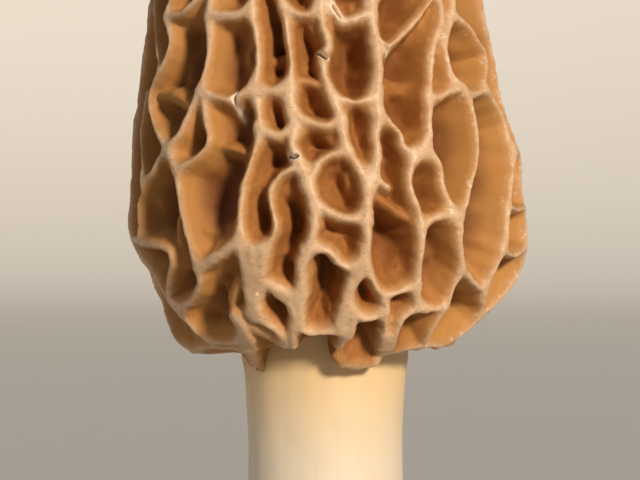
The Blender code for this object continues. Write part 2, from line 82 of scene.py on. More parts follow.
# Ridges that reach the full height of the cap's surface: (half width, route).
RIDGES = [
    # The left side
    (0.6, [(-76, 103), (-75, 99), (-72, 95), (-66, 90), (-61, 86.5)]),
    (0.6, [(-70, 83.5), (-72, 79), (-71, 76), (-66, 70), (-69.5, 67), (-70, 64), (-71, 61)]),
    (0.8, [(-58, 103), (-57, 98), (-59.5, 94), (-55.5, 90.5), (-58, 87.5), (-66, 83.5), (-65, 80.5),
        (-59, 77.5), (-50.5, 74.5)]),
    (0.7, [(-50.5, 74.5), (-56, 73.3), (-60, 71.3), (-66, 70)]),
    (0.9, [(-37, 103), (-37, 97), (-37.5, 93), (-36.5, 89), (-38.5, 84), (-44, 79), (-46, 77),
        (-50.5, 74.5), (-47, 71.5), (-45, 67), (-43, 63), (-41.5, 57.5), (-42, 56), (-43.8, 54.4),
        (-50.5, 52.4), (-58.5, 51.2), (-65, 50.5)]),
    (0.8, [(-38, 82.5), (-36.5, 79), (-34.5, 76), (-37, 74), (-42, 72.5), (-47, 71.5)]),
    (0.8, [(-59.5, 94.3), (-51, 94.3), (-44, 96), (-37.5, 98)]),
    (1.0, [(-81, 61.5), (-72, 61), (-62, 60.7), (-56, 60.4), (-52, 59.5), (-53, 57.5), (-58, 55.5),
        (-62, 54), (-63, 52.5), (-58.7, 51.1)]),
    (1.0, [(-24.6, 61.8), (-28.5, 60.2), (-33.9, 58.7), (-37, 57.9), (-41.5, 57)]),
    (0.8, [(-56, 46.7), (-50, 46.3), (-44, 46.2), (-38, 46.4), (-33, 46.8)]),
    # Left of the front
    (0.8, [(-21, 102.5), (-20.5, 98), (-22, 94), (-20, 91.5), (-19, 86.5), (-20, 83.3), (-18, 78),
        (-20, 73.5), (-23, 69), (-24, 65), (-24.7, 60), (-24.5, 56), (-25.3, 53.5), (-24.8, 50.7)]),
    (1.3, [(-32.6, 50.2), (-31.8, 49.4), (-31.3, 48.2), (-32.3, 46.9)]),
    (0.8, [(-20.5, 102), (-15, 98), (-11, 95), (-9.3, 90), (-8.5, 86), (-9.5, 83)]),
    (1.1, [(-9.5, 83), (-8.7, 80), (-8, 77.5), (-8.5, 75), (-7, 73), (-4, 69), (-2.7, 66.5),
        (-3, 63), (-5, 60), (-7, 57.5), (-7.5, 54.5), (-8.5, 51.5), (-9.5, 49)]),
    (0.9, [(-37.5, 93.8), (-28, 93.6), (-22, 94.3)]),
    (0.8, [(-38, 83), (-34, 82.1), (-27, 81.6), (-20, 83.3)]),
    (0.9, [(-10.5, 94.5), (-6, 93.6), (-2, 93.6), (1, 95)]),
    (1.0, [(-20, 83), (-15, 82.7), (-9.5, 82.9)]),
    (1.0, [(-18, 77.4), (-15, 76.5), (-11.8, 76.4), (-8.2, 77.6)]),
    (0.9, [(-8.5, 80), (-5.5, 78.8), (-2, 78), (2, 77.7), (6, 78.5)]),
    (0.8, [(-6.5, 71.8), (-11, 71), (-14.3, 69.2), (-15, 67), (-13.7, 64), (-14.5, 62),
        (-17.5, 60)]),
    (1.2, [(-17.5, 60), (-18.5, 58), (-20.5, 55.5), (-23, 53), (-24, 51)]),
    (1.5, [(-21.5, 59.5), (-22.5, 55.5)]),
    (1.1, [(-15, 53.9), (-12, 53.3), (-9.5, 53.3), (-8, 53.7)]),
    (0.9, [(-21, 55.3), (-17.4, 54.7), (-15.4, 54), (-13.1, 53.1), (-11.5, 52.1), (-10.5, 50.8),
        (-10.4, 49.5), (-11.6, 48.2), (-12.8, 46.9), (-13.5, 45.6)]),
    (1.0, [(-25.2, 50.7), (-22.2, 49.6), (-19.2, 48.6), (-17, 47.6), (-16.2, 46.7), (-16.6, 45.8)]),
    (0.8, [(-9.5, 48.5), (-6, 47.7), (-2, 47.7), (6, 48)]),
    # The middle
    (1.0, [(1.5, 103), (1, 98), (1, 94), (1.8, 91.8), (3, 90), (3, 88.7), (1.5, 87.5), (1.4, 85.3),
        (2.3, 83.7), (3.4, 82.2), (4.9, 80.2), (6, 79), (6.3, 76.5), (7.5, 74.3), (10, 72),
        (12.5, 69)]),
    (0.7, [(2, 96.8), (4.5, 95.7), (6.4, 93.8)]),
    (0.9, [(18, 94), (14, 93.2), (10, 92.6), (8, 92.4)]),
    (1.1, [(17, 103), (18, 98), (18, 94), (18.5, 90), (19, 87.5), (17.3, 81), (17.3, 78.5),
        (16, 76.5), (16, 74), (15, 71.5), (12.5, 67.5), (12, 64), (12, 61), (11, 57.7)]),
    (1.2, [(10, 56.5), (8, 54.6), (6.8, 52.4), (5.8, 49.8), (5, 48.4)]),
    (0.8, [(8.5, 51.5), (9.5, 49.5), (8.8, 47.6), (8.4, 47)]),
    (0.9, [(14.5, 70.3), (16.5, 69.6), (18.4, 69)]),
    (0.8, [(11, 57.7), (13, 56.5), (16, 54.5), (19.5, 52.7), (21.5, 49.5), (23, 47), (24.5, 45.3)]),
    (0.8, [(18.5, 95.5), (22, 97.5), (26, 101)]),
    (0.7, [(19, 88.3), (25, 89.8), (30, 91.6), (36, 94), (43, 97)]),
    (0.8, [(4, 81.8), (10, 81.1), (14, 81.4), (17.5, 82.5)]),
    (0.8, [(-4.5, 69.2), (-2.8, 70.8), (-1.1, 72.3), (1.5, 73.3), (4.6, 73.8), (7.5, 74.2)]),
    (0.9, [(-2.2, 66.6), (1.6, 65.4), (5, 64.6), (8.5, 64.4), (12, 64.8)]),
    (0.9, [(-5.2, 59.6), (-3.5, 59.8), (-1, 59.9), (1, 59.6), (2.5, 58.9), (4, 57.9), (6.5, 57.3),
        (11, 57.6)]),
    (0.9, [(8, 51.2), (10.5, 50.5), (13.5, 49.9), (16.5, 50), (20.5, 50.8)]),
    # Right of the front
    (0.9, [(46, 102.5), (44.5, 98), (45, 95), (44, 92.5), (40, 90), (38.3, 88), (35.5, 83),
        (34.5, 80), (33.5, 77), (31, 74.5), (27, 72.7), (25.2, 70.3), (25.5, 68.3), (27.5, 65.5),
        (28.5, 62.5), (28.5, 59.5), (29.3, 56), (31, 53), (33.5, 51.5)]),
    (0.9, [(31, 74.5), (34.5, 73.2), (36.3, 71.5), (36.2, 69.3), (38.3, 66.8), (41, 65), (42, 63),
        (42.3, 60.5), (45.8, 57), (45, 54.5), (44.5, 52), (43, 49.5), (43, 47.5), (45, 45.3)]),
    (0.9, [(55, 103), (53, 99), (51.5, 95.5), (48, 92.5), (45, 90), (44.7, 88), (46, 85), (51, 83),
        (53.5, 80), (53.7, 77), (52.5, 74), (47, 69), (44.5, 66.7), (41, 64.7)]),
    (0.8, [(17.5, 80), (21, 78), (23.5, 76.5), (24, 75), (26.5, 74), (31, 74.2)]),
    (0.8, [(28.5, 63), (31, 64.2), (35, 64.9), (41, 65)]),
    (0.8, [(35, 82), (39, 82), (43.5, 83), (50, 83.6)]),
    (0.8, [(19.5, 53), (24, 53.8), (29.5, 54.6)]),
    (0.8, [(44, 51.5), (37, 51.2), (33.5, 51.6), (30, 50.7), (27.7, 49.5), (27.5, 47.5),
        (28.5, 45.5)]),
    # The right side
    (0.9, [(50.5, 94), (57, 93.2), (62, 92), (65.5, 90.5), (70, 88.7), (67, 86), (64, 84.3),
        (73, 81.3), (77, 79), (76.5, 76.5), (78, 74.5), (75.5, 72), (69, 66.5), (66, 63.5),
        (66, 61), (63.5, 57.5), (63.5, 55), (65, 53), (72.5, 49.8)]),
    (0.8, [(52, 82.7), (58, 82.9), (65, 83.7)]),
    (0.8, [(46, 57), (50, 56), (55, 54.9), (60, 54.2), (64, 54.3)]),
    (0.9, [(65.5, 60), (70, 59.3), (76, 59.3), (86, 60.5)]),
    (0.7, [(78, 74.5), (87, 74.3)]),
    (0.7, [(69, 66.6), (78, 66), (87, 66.3)]),
]

# The long ridges that close the described front off from the grown rows behind and above it.
LEFT_BORDER = [
    (-82, 104), (-80, 98), (-79, 92), (-81, 86), (-82, 80), (-80, 74), (-79, 70), (-81, 66),
    (-82, 61.5), (-80, 59), (-73, 57), (-68, 55), (-67, 52.5), (-62, 50.9), (-58.5, 49.2),
    (-57.5, 47.6), (-56, 46.5), (-54, 45.4),
]
RIGHT_BORDER = [
    (80, 104), (78, 98), (77, 94), (82, 90.5), (84, 87), (81, 83.5), (84, 79), (87, 74.5), (86, 70),
    (87, 66), (86, 62), (87, 57.5), (84, 54), (78, 51), (72.5, 49.8), (69, 48), (63, 46),
    (61, 45.2),
]
TOP_BORDER = [
    (-82, 104), (-76, 102.5), (-67, 105.5), (-58, 102.5), (-47, 106.5), (-37, 102.5), (-29, 107),
    (-20.5, 102), (-9, 107.5), (1.5, 102.5), (9, 107), (17, 102.5), (26, 101), (36, 105), (46, 102),
    (50, 101.5), (55, 102.5), (66, 106.5), (76, 103), (80, 104),
]
BORDER_HALF_WIDTH = 0.8

# Saddles and folds that lie below the crests: (half width, drop below the crests, route).
LEDGES = [
    (0.6, 2.4, [(-45.5, 66.5), (-48, 64.5), (-48.5, 62), (-49, 59.5), (-50, 57)]),
    (0.7, 1.5, [(-66, 82.8), (-57, 83), (-50, 82.2), (-43, 80.8)]),
    (0.7, 2.4, [(-35, 75), (-30.5, 75), (-26, 74.4), (-20, 73.5)]),
    (0.9, 2.6, [(-20, 87.2), (-14, 87.3), (-9, 88)]),
    (0.9, 1.0, [(-9, 84.2), (-4, 84.2), (0, 83.6), (3, 82.2)]),
    (1.1, 1.6, [(-2, 92.3), (0, 91), (2, 89.5)]),
    (1.2, 1.6, [(1, 77.3), (3.5, 76), (5, 75)]),
    (1.6, 2.4, [(-11.5, 69), (-8, 69.6)]),
    (1.2, 3.2, [(20, 84.8), (25, 83.9), (30, 83.6), (37, 84)]),
    (0.9, 1.5, [(13.5, 68.6), (17, 67.4), (19.6, 66.4), (22.5, 65.4), (27, 64.2)]),
    (0.9, 0.9, [(-5.6, 58.2), (-5.2, 57), (-5.2, 55.4), (-6, 53.6)]),
    (1.4, 0.7, [(-28.5, 48.6), (-24.5, 47.7), (-21, 46.8), (-18.3, 45.9)]),
    (0.8, 1.2, [(-28, 54.8), (-31.2, 53.2), (-33.3, 51.6), (-33, 50.4)]),
]

# How much of their depth the pits have, as (places, shares): by height, then by angle.
PIT_DEPTH_SHARES = ((44.5, 48.5), (0.6, 1.0)), ((112.0, 128.0), (1.0, 0.65))
DEPTH_SHARES_ROUND = (-75, -52, -25, -14, 20, 32, 75), (1.0, 0.65, 0.7, 1.25, 1.25, 0.85, 1.0)
SKIRT_SHARES = (43.4, 44.6), (0.0, 1.0)  # the skirt has no pits
# How far the pit walls at the cap's sides take the lighter side-lit colour, as (angles,
# shares): painted light, where the lamps from the right and the left fall on them.
SIDE_LIT_ROUND = (-160, -100, -34, -22, 33, 45, 100, 160), (0, 0.8, 0.7, 0, 0, 1, 1, 0)
LEAN_PER_MM = -0.035
LEAN_FROM = 60.0
LINE_REACH = 9.0  # ridges further off than this don't shape a point
LEAST_CROWD = 1e-12
LEAST_RUN = 1e-9

# The skirt is the cap's lowest edge. It lies just under the stem's surface, so that only the
# drips on it come out over the stem.
SKIRT_OUTLINE = [(10.9, 39.5), (11, 41.5), (11.3, 43.2), (12.2, 44.2)]

# Places where the smooth cap stands proud (+) or falls back (-): angle, height, rise, reach.
SWELLS = [
    (84, 73.5, 1.1, 3.5), (86, 57, 1.5, 5.0), (86, 65.5, 0.6, 2.5), (-84, 54.5, -1.1, 4.0),
    (-80, 46.5, 1.5, 3.2),
]

# Ridges that hang from the cap's foot or close its lowest pits: (half width, route), each
# route's points as (angle, radius, height).
HANGING_RIDGES = [
    (0.8, [(30.5, 16.6, 45), (37, 18.2, 45.2), (44, 19.4, 45.6), (80, 19.4, 45.6),
        (130, 19.4, 45.6), (180, 19.4, 45.6)]),
    (0.8, [(-180, 19.4, 45.6), (-120, 19.4, 45.6), (-60, 19.4, 45.6), (-33, 19, 45.4)]),
    (0.7, [(-28, 17.6, 46), (-21, 16, 46.4), (-13, 15.2, 46.7), (-9, 15.4, 46.8)]),
    (0.7, [(8.4, 22.2, 47.2), (6.3, 19.8, 45.9), (5.6, 17.6, 45.1), (7.3, 16.6, 44.2)]),
    (1.2, [(7.3, 16.2, 44.2), (10.2, 15.8, 43.1), (15.5, 15.3, 42.7), (22, 15.3, 42.8),
        (27.5, 15.8, 43.6), (30.6, 16.9, 45)]),
    (0.7, [(30.6, 16.9, 45), (28, 19.8, 46), (23.7, 22.2, 47.4)]),
    (1.3, [(-32.3, 21.6, 46.9), (-34.3, 20, 46.1), (-37, 18.2, 45.3), (-40, 16.2, 44.5),
        (-44.5, 14.8, 43.5), (-49.2, 13.4, 42.2)]),
]

# Drips of the cap's foot over the stem, and where it is drawn up (a fall below 0):
# (half width, [(angle, radius, height, fall)]).
DRIPS = [
    (3.0, [(-24, 15, 44.8, -1.3), (-15, 15, 44.8, -1.9), (-5, 15, 44.8, -1.9),
        (3, 15.4, 44.8, -1.2)]),
    (1.4, [(-38, 18.2, 45, 0.2), (-42, 16.2, 44.8, 0.9), (-46.5, 14.4, 44.6, 1.7),
        (-49.5, 12.8, 44.2, 2.0), (-51, 12, 43.6, 1.8)]),
    (2.5, [(10, 14.4, 44.6, 2.0), (16, 13.6, 44.5, 2.3), (23, 13.9, 44.5, 2.0)]),
]
DRIP_EDGE = 8  # the higher it is, the more sharply a drip ends at its half width
DRIP_DIRECTION = (0.42, -0.91)  # outward and down

# Cracks through a crest, with pale torn lips: (half width, how far the lips reach, route).
TEARS = [
    (0.16, 0.6, [(-9.8, 73.6), (-8.4, 73.2), (-7.0, 73.4)]),
    (0.16, 0.5, [(-26.3, 79.4), (-26.5, 81.0), (-26.2, 82.6)]),
    (0.14, 0.6, [(20.6, 90.4), (22.8, 88.2)]),
    (0.25, 0.3, [(-0.6, 88.4), (1.2, 87.8), (2.4, 87.4)]),
    (0.12, 0.9, [(5.2, 94.8), (6.4, 94.0), (7.6, 93.2)]),
]
TEAR_SLOPE = 4.0  # how fast a crack's sides fall
LIP_FALL = 2  # how fast its lips fade

# Rows of pits that the back and the top are laid out in: (height, pits round the cap).
GROWN_ROWS = [
    (49.5, 16), (59.5, 20), (71, 21), (83.5, 20), (96, 18), (109, 14), (119, 9), (127.5, 3),
]
GROWN_SEED = 7
GROWN_JITTER = 0.3  # of the spacing round the cap, each way
GROWN_RISE = 3.2  # how far a pit may lie above or below its row
GROWN_TOP = 128.5
GROWN_HALF_WIDTHS = (0.3, 0.9)
GROWN_STRETCH = 0.74  # heights count this much, so that pits grow taller than wide
PAIR_SHARE = 0.6  # of the grown pits that look for a partner above, to make one long pit
PAIR_WEIGHTS = (1.6, 1.6, 1.0)  # a partner beside counts as further off than one above
PAIR_REACH = 18.0
PAIR_DROPS = (1.5, 6.0)  # how far the ridge between partners lies down
DRIFT = 2.1  # how far the grown ridges wander
DRIFT_REACH = 11.0
DRIFT_WAVES = 5
DRIFT_TURN = 2.0  # how far round a wave goes over the reach, in radians
DRIFT_DAMPING = 3

# How the meshes are made.
ROUTE_STEPS = 4
OUTLINE_STEPS = 16
POINTS_AT_ONCE = 20000
ON_AXIS = 0.001
FLAT = 0.01
HOLLOW_SPACING = 2.5
HOLLOW_STEP = 0.35  # the cap's inner wall starts this much outside the stem's
EDGE_SHARE = 0.3  # where the cut edge's middle point lies, so that it comes out round
SOFTENING = 0.5, 2  # factor and rounds of the smoothing after the relief

# Relief, in millimetres where it isn't a share.
CAP_RELIEF = {
    "Bowl Rounding": 0.6, "Ledge Run": 2.2, "Ledge Blend": 1.3, "Wander": 0.7,
    "Wander Size": 3.5, "Bulge": 3.2, "Bulge Size": 4.4, "Fray": 0.5, "Fray Size": 1.1,
    "Fray Reach": 1.5, "Pit Unevenness Size": 6, "Fold Size": 3.0, "Fold Height": 2.3,
    "Cushion Size": 6, "Cushion Height": 4, "Lump Size": 4, "Lump Height": 0.5,
    "Grain Size": 0.7, "Grain Height": 0.1,
}
STEM_RELIEF = {"Dent Size": 11, "Dent Height": 0.5, "Fold Size": 2.6, "Fold Height": 0.16}
FOLD_STRETCH = (1.0, 1.0, 0.1)  # draws the stem's folds out along it
PIT_UNEVENNESS = 0.25, 0.75, 0.75, 1.15
LUMP_LEVEL = 0.75  # of the lumps' height, which keeps the skin just inside the model
GRAIN_FADE = 0.02, 0.25, 1.0, 0.25  # down from the crests
FINE = 0.6  # roughness of the noise where its detail is crisp

# The cap's finish. Ramps are (from, to) or (from, to, first, last), down the share of a
# pit's depth or along a noise. Down a pit the flesh darkens from its own pale crest colour:
# the walls are partly its own colour and partly painted shade, the floors painted shade.
PATCH_SIZE, PATCH_SWING = 5 * MM, 0.12
# The rim between crest and wall is painted bounce light: warm brown where the shaded crest sides
# would get light from the pits.
CREST_TO_RIM = 0.015, 0.09
RIM_TO_WALL = 0.07, 0.19
WALL_TO_SHADED_FLOOR = 0.24, 0.78
MOTTLE_SIZE, BLOTCHES, BLOTCH_FADE = 0.9 * MM, (0.35, 0.7, 0.0, 0.35), (0.2, 0.6, 1.0, 0.2)
SPECK_SIZE, SPECKS, SPECK_FADE = 0.5 * MM, (0.63, 0.7, 0.0, 0.5), (0.0, 0.12, 1.0, 0.0)
SPECK_SQUEEZE = (0.7, 0.7, 2.4)  # lays the specks across the ridges
# Pale marks on the crests, kept to the right side where the key light falls: painted glints.
GLINT_SIZE, GLINT_LEVELS, GLINT_FADE = 1.0 * MM, (0.56, 0.7), (0.0, 0.2, 1.0, 0.0)
GLINTS_TO_LIT_RIGHT = 0.0, 24 * MM, 0.1, 0.7
CREST_ROUGHNESS, ROUGHNESS_FADE, MOTTLE_ROUGHNESS = 0.36, (0.0, 0.2, 0.0, 0.32), 0.2
SKIN_SIZE, SKIN_SHARE, SKIN_BUMP = 0.25 * MM, 0.4, 0.3
CAP_SPECULAR, CAP_GLOW = 0.3, (1.0, 0.45, 0.2)

# The stem's finish.
STREAK_SIZE, STREAK_STRETCH, STREAKS = 1.6 * MM, (1.0, 1.0, 0.12), (0.4, 0.75, 0.0, 0.35)
BLUSH_SIZE, BLUSH_SWING, NECK_HEIGHTS = 9 * MM, 8 * MM, (31 * MM, 48 * MM)
EARTH_SWING, EARTH = 6 * MM, (2 * MM, 9 * MM, 0.4, 0.0)
STEM_ROUGHNESS = 0.3, 0.7, 0.42, 0.58
MEAL_SIZE, MEAL_SHARE, MEAL_BUMP = 0.3 * MM, 0.35, 0.25
STEM_GLOW = (1.0, 0.6, 0.35)
BUMP_HEIGHT = 0.1 * MM
MIX_COLOURS, MIX_RESULT = (6, 7), 2  # a mix node's sockets for colours

# The stage. Lights are far off: (name, direction towards it, width in degrees, tint).
SUNS = [
    ("key", (0.35, -0.63, 0.27), 9, (1.0, 0.87, 0.74)),
    ("fill", (-0.8, -0.3, 0.35), 40, (0.88, 0.91, 1.0)),
    ("top", (0.0, 0.3, 1.0), 60, (0.95, 0.97, 1.0)),
]
ROOM_TINT = (1.0, 0.96, 0.9)
CAMERA_OFFSET = -0.75  # to the left of the stem's axis
SENSOR_WIDTH = 36.0
CLIP_START = 0.01
CLOUD_SIZE, CLOUD_SHADE, PAPER_ROUGHNESS = 0.4, 0.96, 0.9
BEND_STEPS = 12
FLOOR_STEPS = 96


# Layout: lines, and how far points are from them, all in millimetres.

def smooth_line(points, steps):
    """A Catmull-Rom line through the points, with so many steps between each two."""
    p = np.array(points, float)
    p = np.vstack([2 * p[0] - p[1], p, 2 * p[-1] - p[-2]])
    t = np.linspace(0, 1, steps, endpoint=False)[:, None]
    runs = []
    for a, b, c, d in zip(p[:-3], p[1:-2], p[2:-1], p[3:]):
        bend = (2 * a - 5 * b + 4 * c - d) * t**2 + (3 * (b - c) + d - a) * t**3
        runs.append(0.5 * (2 * b + (c - a) * t + bend))
    return np.vstack(runs + [p[-2:-1]])


def evenly_spaced(line, spacing):
    """The line's own shape with points at an even spacing."""
    along = np.concatenate([[0], np.cumsum(np.linalg.norm(np.diff(line, axis=0), axis=1))])
    at = np.linspace(0, along[-1], max(2, round(along[-1] / spacing) + 1))
    return np.column_stack([np.interp(at, along, line[:, i]) for i in range(line.shape[1])])


CAP_LINE = smooth_line(CAP_OUTLINE, OUTLINE_STEPS)
CAP_LINE[:, 1] = np.maximum.accumulate(CAP_LINE[:, 1])
STEM_LINE = smooth_line(STEM_OUTLINE, OUTLINE_STEPS)
HOLLOW_LINE = smooth_line(HOLLOW_OUTLINE, OUTLINE_STEPS)


def at_angle(angle, radius, height):
    angle = np.radians(angle)
    return np.column_stack([radius * np.sin(angle), -radius * np.cos(angle), height])


def angles_of(points):
    return np.degrees(np.arctan2(points[:, 0], -points[:, 1]))


def on_cap(route):
    """Points of the smooth cap, before it leans, for a route of (angle, height)."""
    radius = np.interp(route[:, 1], CAP_LINE[:, 1], CAP_LINE[:, 0])
    return at_angle(route[:, 0], radius, route[:, 1])


def line_on_cap(route):
    return on_cap(smooth_line(route, ROUTE_STEPS))


def nearest_on_line(points, line, values=None):
    """Each point's distance from the line, and the line's own value at the nearest place."""
    best = np.full(len(points), np.inf)
    found = np.zeros(len(points))
    values = np.zeros(len(line)) if values is None else values
    for start, end, first, last in zip(line[:-1], line[1:], values[:-1], values[1:]):
        run = end - start
        away = points - start
        share = np.clip(away @ run / max(run @ run, LEAST_RUN), 0, 1)
        distance = np.sum((away - share[:, None] * run) ** 2, axis=1)
        closer = distance < best
        best[closer] = distance[closer]
        found[closer] = (first + share * (last - first))[closer]
    return np.sqrt(best), found


def measured(points, line, values=None, allowed=None):
    """Which points a line is close enough to shape, their distances, and its values there."""
    low, high = line.min(axis=0) - LINE_REACH, line.max(axis=0) + LINE_REACH
    chosen = np.flatnonzero(((points > low) & (points < high)).all(axis=1))
    if allowed is not None:
        chosen = chosen[allowed[chosen]]
    return chosen, *nearest_on_line(points[chosen], line, values)


def drift(points, reach, seed):
    """A smooth wandering offset, up to about 1 each way, that depends only on place."""
    rng = np.random.default_rng(seed)
    offset = np.zeros((len(points), 3))
    for _ in range(DRIFT_WAVES):
        wave = rng.normal(size=(3, 3)) * (DRIFT_TURN / reach)
        offset += np.sin(points @ wave + rng.uniform(0, 2 * math.pi, 3))
    return offset / DRIFT_DAMPING


def behind_border(points):
    """Whether each point is outside the described front."""
    angle, height = angles_of(points), points[:, 2]
    left, right = np.array(LEFT_BORDER)[::-1], np.array(RIGHT_BORDER)[::-1]
    top = np.array(TOP_BORDER)
    return (
        (angle < np.interp(height, left[:, 1], left[:, 0]))
        | (angle > np.interp(height, right[:, 1], right[:, 0]))
        | (height > np.interp(angle, top[:, 0], top[:, 1]))
    )


def grown_pits():
    """Each grown pit's middle, its ridges' half width, its partner and their ridge's drop."""
    chance = random.Random(GROWN_SEED)
    places = []
    for row, (height, count) in enumerate(GROWN_ROWS):
        for i in range(count):
            turn = i + 0.5 * (row % 2) + chance.uniform(-GROWN_JITTER, GROWN_JITTER)
            rise = chance.uniform(-GROWN_RISE, GROWN_RISE)
            angle = (turn * 360 / count + 180) % 360 - 180
            places.append((angle, min(height + rise, GROWN_TOP)))
    middles = on_cap(np.array(places))
    middles = middles[behind_border(middles)]
    halves = np.array([chance.uniform(*GROWN_HALF_WIDTHS) for _ in middles])
    partner = np.arange(len(middles))
    drops = np.zeros(len(middles))
    for i, middle in enumerate(middles):
        looks = chance.random() < PAIR_SHARE
        drop = chance.uniform(*PAIR_DROPS)
        if looks and partner[i] == i:
            away = np.linalg.norm((middles - middle) * PAIR_WEIGHTS, axis=1)
            away[(partner != np.arange(len(middles))) | (middles[:, 2] <= middle[2])] = np.inf
            other = away.argmin()
            if away[other] < PAIR_REACH:
                partner[i], partner[other] = other, i
                drops[[i, other]] = drop
    return middles, halves, partner, drops


GROWN_PITS = grown_pits()


def grown_gaps(points):
    """How far each point is from the edge of the ridge between its own pit and each other one.

    Then how far it is from the sunken ridge between its own pit and the partner, and how far
    that ridge lies down.
    """
    scale = np.array([1, 1, GROWN_STRETCH])
    middles, halves, partner, drops = GROWN_PITS
    moved = (points + DRIFT * drift(points, DRIFT_REACH, GROWN_SEED)) * scale
    away = np.linalg.norm(moved[:, None] - (middles * scale)[None], axis=2)
    own = away.argmin(axis=1)
    row = np.arange(len(points))
    gaps = (away - away[row, own][:, None]) / 2 - (halves[own][:, None] + halves[None]) / 2
    sunken = np.where(partner[own] == own, LINE_REACH, gaps[row, partner[own]])
    gaps[row, own] = np.inf
    gaps[row, partner[own]] = np.inf
    return gaps, sunken, drops[own]


def grown_parts(points):
    """The points behind the border, in parts small enough to measure at once."""
    grown = np.flatnonzero(behind_border(points))
    return np.array_split(grown, len(grown) // POINTS_AT_ONCE + 1)


def ridge_gaps(points, moved, fillets):
    """How far each point is from the crest of the nearest ridge, 0 being the crest's edge.

    The ridges crowd in on a point: those that are equally near round off the corner there, the
    more so with a larger fillet. There is one answer for each fillet. The hanging ridges lie
    where the points are once the drips have moved them.
    """
    fillets = np.array(fillets)
    front = ~behind_border(points)
    lines = [(half_width, line_on_cap(route), points, front) for half_width, route in RIDGES]
    for border in (LEFT_BORDER, RIGHT_BORDER, TOP_BORDER):
        lines.append((BORDER_HALF_WIDTH, line_on_cap(border), points, None))
    for half_width, route in HANGING_RIDGES:
        line = at_angle(*smooth_line(route, 2 * ROUTE_STEPS).T)
        lines.append((half_width, line, moved, None))
    crowd = np.zeros((len(points), len(fillets)))
    for half_width, line, places, allowed in lines:
        chosen, away, _ = measured(places, line, allowed=allowed)
        crowd[chosen] += np.exp((half_width - away)[:, None] / fillets)
    for part in grown_parts(points):
        gaps, _, _ = grown_gaps(points[part])
        for i, fillet in enumerate(fillets):
            crowd[part, i] += np.exp(-gaps / fillet).sum(axis=1)
    return (-fillets * np.log(np.maximum(crowd, LEAST_CROWD))).T


def ledge_fields(points):
    """How far each point is from the nearest ledge's edge, and how far that ledge lies down."""
    gap = np.full(len(points), LINE_REACH)
    drop = np.full(len(points), LINE_REACH)
    for half_width, fall, route in LEDGES:
        chosen, away, _ = measured(points, line_on_cap(route))
        closer = away - half_width < gap[chosen]
        gap[chosen[closer]] = (away - half_width)[closer]
        drop[chosen[closer]] = fall
    for part in grown_parts(points):
        _, gap[part], drop[part] = grown_gaps(points[part])
    return gap, drop


def tear(points, gap):
    """The gaps with the cracks cut through the crests, and how torn each point is."""
    torn = np.zeros(len(points))
    for half_width, reach, route in TEARS:
        chosen, away, _ = measured(points, line_on_cap(route))
        gap[chosen] = np.maximum(gap[chosen], TEAR_SLOPE * (half_width - away))
        lip = np.exp(-(((away - half_width) / reach) ** 2) * LIP_FALL)
        torn[chosen] = np.maximum(torn[chosen], lip)
    return gap, torn


def swell(points):
    """How far the smooth cap stands proud at each point."""
    rise = np.zeros(len(points))
    for angle, height, most, reach in SWELLS:
        middle = on_cap(np.array([(angle, height)]))[0]
        away = np.sum((points - middle) ** 2, axis=1) / (2 * reach**2)
        rise += most * np.exp(-away)
    return rise


def drip_fall(points):
    """How far the drips bring each point down from the smooth cap."""
    fall = np.zeros(len(points))
    for half_width, route in DRIPS:
        route = smooth_line(route, ROUTE_STEPS)
        chosen, away, most = measured(points, at_angle(*route[:, :3].T), route[:, 3])
        here = most / (1 + (away / half_width) ** DRIP_EDGE)
        fall[chosen] = np.where(abs(here) > abs(fall[chosen]), here, fall[chosen])
    return fall


def cap_fields(at, is_outer, normal, round_axis, fillets):
    """What the cap's tree and material read at each point, with its lengths in metres."""
    skin = at[is_outer]
    outward_part = round_axis[is_outer] * DRIP_DIRECTION[0]
    down_part = np.full(len(skin), DRIP_DIRECTION[1])
    drip = drip_fall(skin)[:, None] * np.column_stack([outward_part, down_part])
    crest_gap, bowl_gap = ridge_gaps(skin, skin + drip, fillets)
    crest_gap, torn = tear(skin, crest_gap)
    ledge_gap, ledge_drop = ledge_fields(skin)
    share = np.ones(len(at))
    for heights, shares in PIT_DEPTH_SHARES:
        share *= np.interp(at[:, 2], heights, shares)
    share *= np.interp(angles_of(at), *DEPTH_SHARES_ROUND)

    def spread(values, inside=0.0):
        """The outer points' values, and the same one for all the inner points."""
        field = np.full((len(at), *values.shape[1:]), inside)
        field[is_outer] = values
        return field

    return {
        "crest_gap": spread(np.minimum(crest_gap, LINE_REACH)) * MM,
        "bowl_gap": spread(np.minimum(bowl_gap, LINE_REACH)) * MM,
        "torn": spread(torn),
        "paled": np.interp(angles_of(at), *SIDE_LIT_ROUND),
        "ledge_gap": spread(ledge_gap, LINE_REACH) * MM,
        "ledge_drop": spread(ledge_drop, LINE_REACH) * MM,
        "rise": spread(drip + swell(skin)[:, None] * normal[is_outer]) * MM,
        "outward": normal,
        "depth_share": share * np.interp(at[:, 2], *SKIRT_SHARES),
    }


def outward(line):
    """The outward direction, as (radius, height), at each point of an outline."""
    along = np.gradient(line, axis=0)
    along /= np.linalg.norm(along, axis=1)[:, None]
    return np.column_stack([along[:, 1], -along[:, 0]])


def foot_middle():
    """Where the stem's axis meets the ground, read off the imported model's cut face."""
    points = np.array([vertex.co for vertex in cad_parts[NODE].data.vertices])
    foot = points[points[:, 2] < FLAT * MM]
    return (foot.min(axis=0) + foot.max(axis=0))[:2] / 2


# Meshes and node trees

